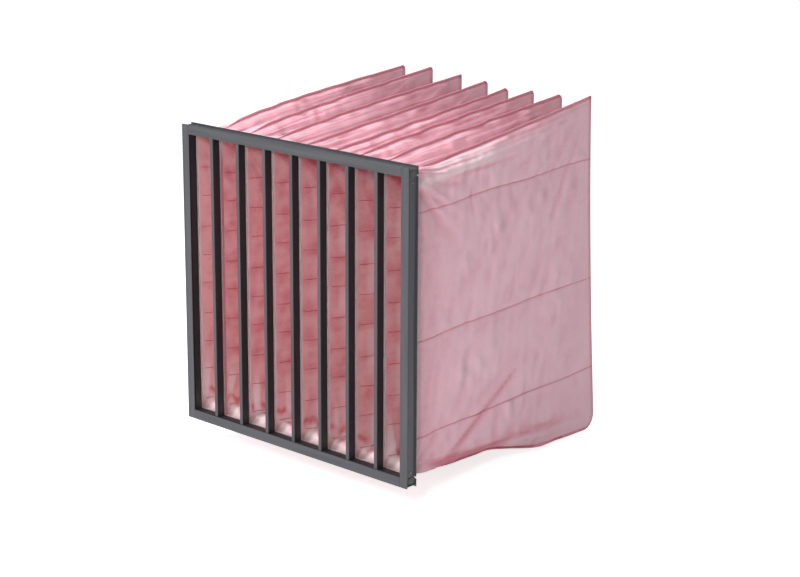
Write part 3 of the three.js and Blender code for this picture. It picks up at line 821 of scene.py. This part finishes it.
def softened(node, name, width, material):
    """The solid of a rigid piece with its facets joined and its edges eased by a small bevel."""
    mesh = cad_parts[node].data.copy()
    mesh.name = name
    mesh.materials.clear()
    mesh.materials.append(material)
    piece = bpy.data.objects.new(name, mesh)
    bpy.context.scene.collection.objects.link(piece)
    join_facets(mesh)
    bevel = piece.modifiers.new("eased edges", "BEVEL")
    bevel.width = width * MM
    bevel.segments = 2
    bevel.limit_method = "ANGLE"
    bevel.angle_limit = BEVEL_FROM
    bevel.harden_normals = True
    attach(piece, BODY)
    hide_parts(node)
    return piece


def join_facets(mesh):
    """Merges the loose triangles and dissolves the edges inside flat faces."""
    body = bmesh.new()
    body.from_mesh(mesh)
    bmesh.ops.remove_doubles(body, verts=body.verts, dist=WELD)
    bmesh.ops.dissolve_limit(body, angle_limit=JOIN_BELOW, verts=body.verts, edges=body.edges)
    body.to_mesh(mesh)
    body.free()
    mesh.polygons.foreach_set("use_smooth", np.ones(len(mesh.polygons), bool))
    mesh.set_sharp_from_angle(angle=SHARP_FROM)


def make_header():
    """Two rails and two stiles, with flow marks along each, and the divider bars."""
    level = plastic_material("header plastic along X", HEADER_GREY, 0.5, (0.04, 1, 1))
    upright = plastic_material("header plastic along Z", HEADER_GREY, 0.5, (1, 1, 0.04))
    for plastic, members in ((level, ("top_rail", "bottom_rail")), (upright, ("left_stile", "right_stile"))):
        for member in members:
            softened(member, member + "_moulding", 0.35, plastic)
    for number in BARS:
        bar = softened(f"divider_bar_{number}", f"divider_bar_moulding_{number}", 0.3, upright)


def make_retainers():
    """The black sleeve in each pocket's mouth."""
    black = plastic_material("retainer plastic", RETAINER_BLACK, 0.5, (1, 1, 0.05))
    for number in POCKETS:
        piece = softened(f"pocket_retainer_{number}", f"retainer_moulding_{number}", 0.3, black)


def make_corners():
    """The key inside each corner, with a rivet through it from the stile and one from the rail."""
    pale = plastic_material("corner key plastic", KEY_GREY, 0.55, (1, 1, 1))
    metal = metal_material()
    for corner in CORNERS:
        softened(f"corner_key_{corner}", f"corner_key_moulding_{corner}", 0.4, pale)
        for member in ("stile", "rail"):
            node = f"rivet_{member}_{corner}"
            softened(node, f"{node}_body", 0.12, metal)


# Thread and mouth hem

def stitches(path, out, length, gap, radius):
    """Rows of short spindles along a path: three rings of four points each, thinner at both ends."""
    steps = np.linalg.norm(np.diff(path, axis=0), axis=1)
    run = np.concatenate([[0], np.cumsum(steps)])
    starts = np.arange(gap, run[-1] - length, length + gap)
    shares = np.array([0.0, 0.5, 1.0])
    girth = np.array([0.65, 1.0, 0.65]) * radius
    at = starts[:, None] + shares * length
    centre = np.stack([np.interp(at, run, path[:, k]) for k in range(3)], -1)
    normal = np.stack([np.interp(at, run, out[:, k]) for k in range(3)], -1)
    normal /= np.linalg.norm(normal, axis=-1, keepdims=True)
    ahead = np.gradient(centre, axis=1)
    ahead /= np.linalg.norm(ahead, axis=-1, keepdims=True)
    side = np.cross(ahead, normal)
    turn = np.arange(4) * np.pi / 2 + np.pi / 4
    ring = (normal[:, :, None] * np.cos(turn)[:, None] + side[:, :, None] * np.sin(turn)[:, None])
    points = centre[:, :, None] + ring * girth[:, None, None]
    return points.reshape(len(starts), -1, 3)


def stitch_faces(count):
    """Faces of that many spindles: two bands and two ends each."""
    one = np.concatenate([ring_faces(3, 4), [[3, 2, 1, 0]], [[8, 9, 10, 11]]])
    return (np.arange(count)[:, None, None] * 12 + one).reshape(-1, 4)


def inner_rows(form):
    """Rows of thread on both inner walls, at even heights, that run back from the mouth and rise a little."""
    p = np.linspace(0.012, 0.6, 30)[:, None]
    rows = []
    for side in (1, -1):
        grid, _, _ = half_surface(form, p, side, mix(1.2, LINING_DEPTH, smooth(p / LINING_SETTLED)), True)
        inward = np.tile([-float(side), 0.0, 0.0], (len(p), 1))
        for number in range(-4, 5):
            target = inner_line(form, p[:, 0], mix(HEADER_DEPTH, form["reach"], p[:, 0]), number)
            wall = grid[np.arange(len(p)), np.argmin(np.abs(grid[..., 2] - target[:, None]), 1)]
            path = np.stack([wall[:, 0] - 0.3 * side, wall[:, 1], target], 1)
            rows.append(stitches(path, inward, *INNER_STITCH))
    return rows


def make_stitching(form, skin, material):
    """Thread along the three stitch lines on both panels, along the fins of both ridges, and on the inner walls."""
    around = skin.shape[1]
    half = around // 2
    normal = normals_of(skin)
    outward = np.sign(skin[..., :1] - np.mean(skin[..., 0], axis=1)[:, None, None])
    normal = np.where(normal[..., :1] * outward < 0, -normal, normal)
    rows = []
    for index in LINE_INDEX:
        for column in (index, around - 1 - index):
            out = normal[SEAM_FROM:-2, column]
            rows.append(stitches(skin[SEAM_FROM:-2, column] + 0.15 * out, out, *SEAM_STITCH))
    for column in (2, half - 3, half + 2, around - 3):
        face = np.zeros((len(skin) - FIN_FROM, 3))
        face[:, 0] = np.sign(skin[FIN_FROM:, column, 0] - skin[FIN_FROM:, around - 1 - column, 0])
        rows.append(stitches(skin[FIN_FROM:, column] + 0.25 * face, face, *FIN_STITCH))
    points = np.concatenate(rows + inner_rows(form))
    name = f"pocket_stitching_{form['number']}"
    piece = new_piece(name, points.reshape(-1, 3), stitch_faces(len(points)), material)
    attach(piece, BODY)


def make_mouth_hem(form, material):
    """Turned edge of the fabric behind the retainer: an uneven bead that is carried round the opening."""
    half_x, half_z = form["mouth_half"] - COLLAR_REACH + 0.4, OPEN_HALF_HEIGHT + 0.2
    corners = np.cumsum([0, 2 * half_x, 2 * half_z, 2 * half_x, 2 * half_z])
    s = np.linspace(0, corners[-1], HEM_POINTS, endpoint=False)
    x = np.interp(s, corners, [-half_x, half_x, half_x, -half_x, -half_x])
    z = np.interp(s, corners, [half_z, half_z, -half_z, -half_z, half_z])
    seed = 40 + form["number"]
    wave = ripples(s, 0 * s, seed, 46, 7) + 0.6 * ripples(s, 0 * s, seed + 9, 15, 7)
    inward = np.clip(0.3 + 0.25 * wave, 0, HEM_STRAY)
    x = x - np.sign(x) * inward * (np.abs(x) > half_x - 1)
    z = z - np.sign(z) * inward * (np.abs(z) > half_z - 1)
    y = HEM_PLACE + 0.7 * ripples(s, 0 * s, seed + 3, 60, 7)
    centre = np.stack([form["mouth_x"] + x, y, z], -1)
    ahead = np.roll(centre, -1, 0) - np.roll(centre, 1, 0)
    ahead /= np.linalg.norm(ahead, axis=1, keepdims=True)
    back = np.array([0.0, 1.0, 0.0])
    out = np.cross(ahead, back)
    out /= np.linalg.norm(out, axis=1, keepdims=True)
    turn = np.arange(HEM_SIDES) * 2 * np.pi / HEM_SIDES
    radius = HEM_RADIUS + 0.12 * ripples(s, 0 * s, seed + 6, 22, 7)
    ring = out[:, None] * np.cos(turn)[:, None] + back * np.sin(turn)[:, None]
    points = centre[:, None] + ring * radius[:, None, None]
    here = np.arange(HEM_SIDES)
    there, last = (here + 1) % HEM_SIDES, (HEM_POINTS - 1) * HEM_SIDES
    faces = np.concatenate([ring_faces(HEM_POINTS, HEM_SIDES), np.stack([last + here, last + there, there, here], -1)])
    piece = new_piece(f"mouth_hem_{form['number']}", points.reshape(-1, 3), faces, material)
    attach(piece, BODY)


# Stage, light and camera

def make_floor():
    """Pale floor just under the lowest pocket; rays from the camera see it near white, with the shadow kept."""
    low = cad_bounds[0][2] / MM - FLOOR_DROP
    corners = [(x * FLOOR_HALF, y * FLOOR_HALF, low) for x, y in ((-1, -1), (1, -1), (1, 1), (-1, 1))]
    n = Nodes("floor")
    n.shader.inputs["Base Color"].default_value = FLOOR_GREY
    n.shader.inputs["Roughness"].default_value = 0.9
    light = n.add("ShaderNodeLightPath")
    glow = n.add("ShaderNodeEmission", Strength=FLOOR_GLOW)
    both = n.add("ShaderNodeAddShader")
    choose = n.add("ShaderNodeMixShader")
    seen = n.add("ShaderNodeMath", operation="MAXIMUM")
    output = n.tree.nodes["Material Output"]
    n.link(light.outputs["Is Camera Ray"], seen.inputs[0])
    n.link(light.outputs["Is Glossy Ray"], seen.inputs[1])
    n.link(seen.outputs["Value"], choose.inputs["Fac"])
    n.link(n.shader.outputs["BSDF"], choose.inputs[1])
    n.link(n.shader.outputs["BSDF"], both.inputs[0])
    n.link(glow.outputs["Emission"], both.inputs[1])
    n.link(both.outputs["Shader"], choose.inputs[2])
    n.link(choose.outputs["Shader"], output.inputs["Surface"])
    mesh = bpy.data.meshes.new("floor")
    mesh.from_pydata((np.array(corners) * MM).tolist(), [], [(0, 1, 2, 3)])
    mesh.materials.append(n.material)
    floor = bpy.data.objects.new("floor", mesh)
    bpy.context.scene.collection.objects.link(floor)


def make_world():
    """Even grey-white light that the camera sees white."""
    world = bpy.data.worlds.new("studio")
    bpy.context.scene.world = world
    world.use_nodes = True
    tree = world.node_tree
    light = tree.nodes["Background"]
    light.inputs["Color"].default_value = (1, 1, 1, 1)
    light.inputs["Strength"].default_value = WORLD_LIGHT
    seen = tree.nodes.new("ShaderNodeBackground")
    seen.inputs["Color"].default_value = (1, 1, 1, 1)
    seen.inputs["Strength"].default_value = 1.0
    path = tree.nodes.new("ShaderNodeLightPath")
    choose = tree.nodes.new("ShaderNodeMixShader")
    tree.links.new(path.outputs["Is Camera Ray"], choose.inputs["Fac"])
    tree.links.new(light.outputs["Background"], choose.inputs[1])
    tree.links.new(seen.outputs["Background"], choose.inputs[2])
    tree.links.new(choose.outputs["Shader"], tree.nodes["World Output"].inputs["Surface"])


def aim(place, target):
    """Turn that looks from one point to another."""
    direction = np.array(target, float) - np.array(place, float)
    back = -direction / np.linalg.norm(direction)
    right = np.cross([0, 0, 1], back)
    right /= np.linalg.norm(right)
    up = np.cross(back, right)
    turn = Matrix(np.stack([right, up, back], 1).tolist()).to_4x4()
    turn.translation = np.array(place) * MM
    return turn


def make_lights():
    """Square area lamps, each aimed at its target."""
    for name, place, target, size, power in LAMPS:
        lamp = bpy.data.lights.new(name, "AREA")
        lamp.shape = "SQUARE"
        lamp.size = size * MM
        lamp.energy = power
        box = bpy.data.objects.new(name, lamp)
        box.matrix_world = aim(place, target)
        bpy.context.scene.collection.objects.link(box)


def make_camera():
    """Camera at the photograph's viewing angle, from its yaw to the left, its pitch down and its roll."""
    yaw, pitch, roll = np.radians([CAMERA_YAW, CAMERA_PITCH, CAMERA_ROLL])
    forward = np.array([np.sin(yaw) * np.cos(pitch), np.cos(yaw) * np.cos(pitch), -np.sin(pitch)])
    level = np.array([np.cos(yaw), -np.sin(yaw), 0.0])
    over = np.cross(level, forward)
    right = level * np.cos(roll) + over * np.sin(roll)
    up = over * np.cos(roll) - level * np.sin(roll)
    data = bpy.data.cameras.new("camera")
    data.sensor_width = SENSOR
    data.lens = SENSOR * CAMERA_FOCAL
    camera = bpy.data.objects.new("camera", data)
    turn = Matrix(np.stack([right, up, -forward], 1).tolist()).to_4x4()
    turn.translation = np.array(CAMERA_PLACE) * MM
    camera.matrix_world = turn
    bpy.context.scene.collection.objects.link(camera)
    bpy.context.scene.camera = camera


make_camera()
make_header()
make_retainers()
make_corners()
fabric, thread, hem = fabric_material(), thread_material(), hem_material()
for pocket in POCKETS:
    pocket_sizes, pocket_skin = make_pocket(pocket, fabric)
    make_stitching(pocket_sizes, pocket_skin, thread)
    make_mouth_hem(pocket_sizes, hem)
make_floor()
make_world()
make_lights()
bpy.context.scene.view_settings.view_transform = "Standard"
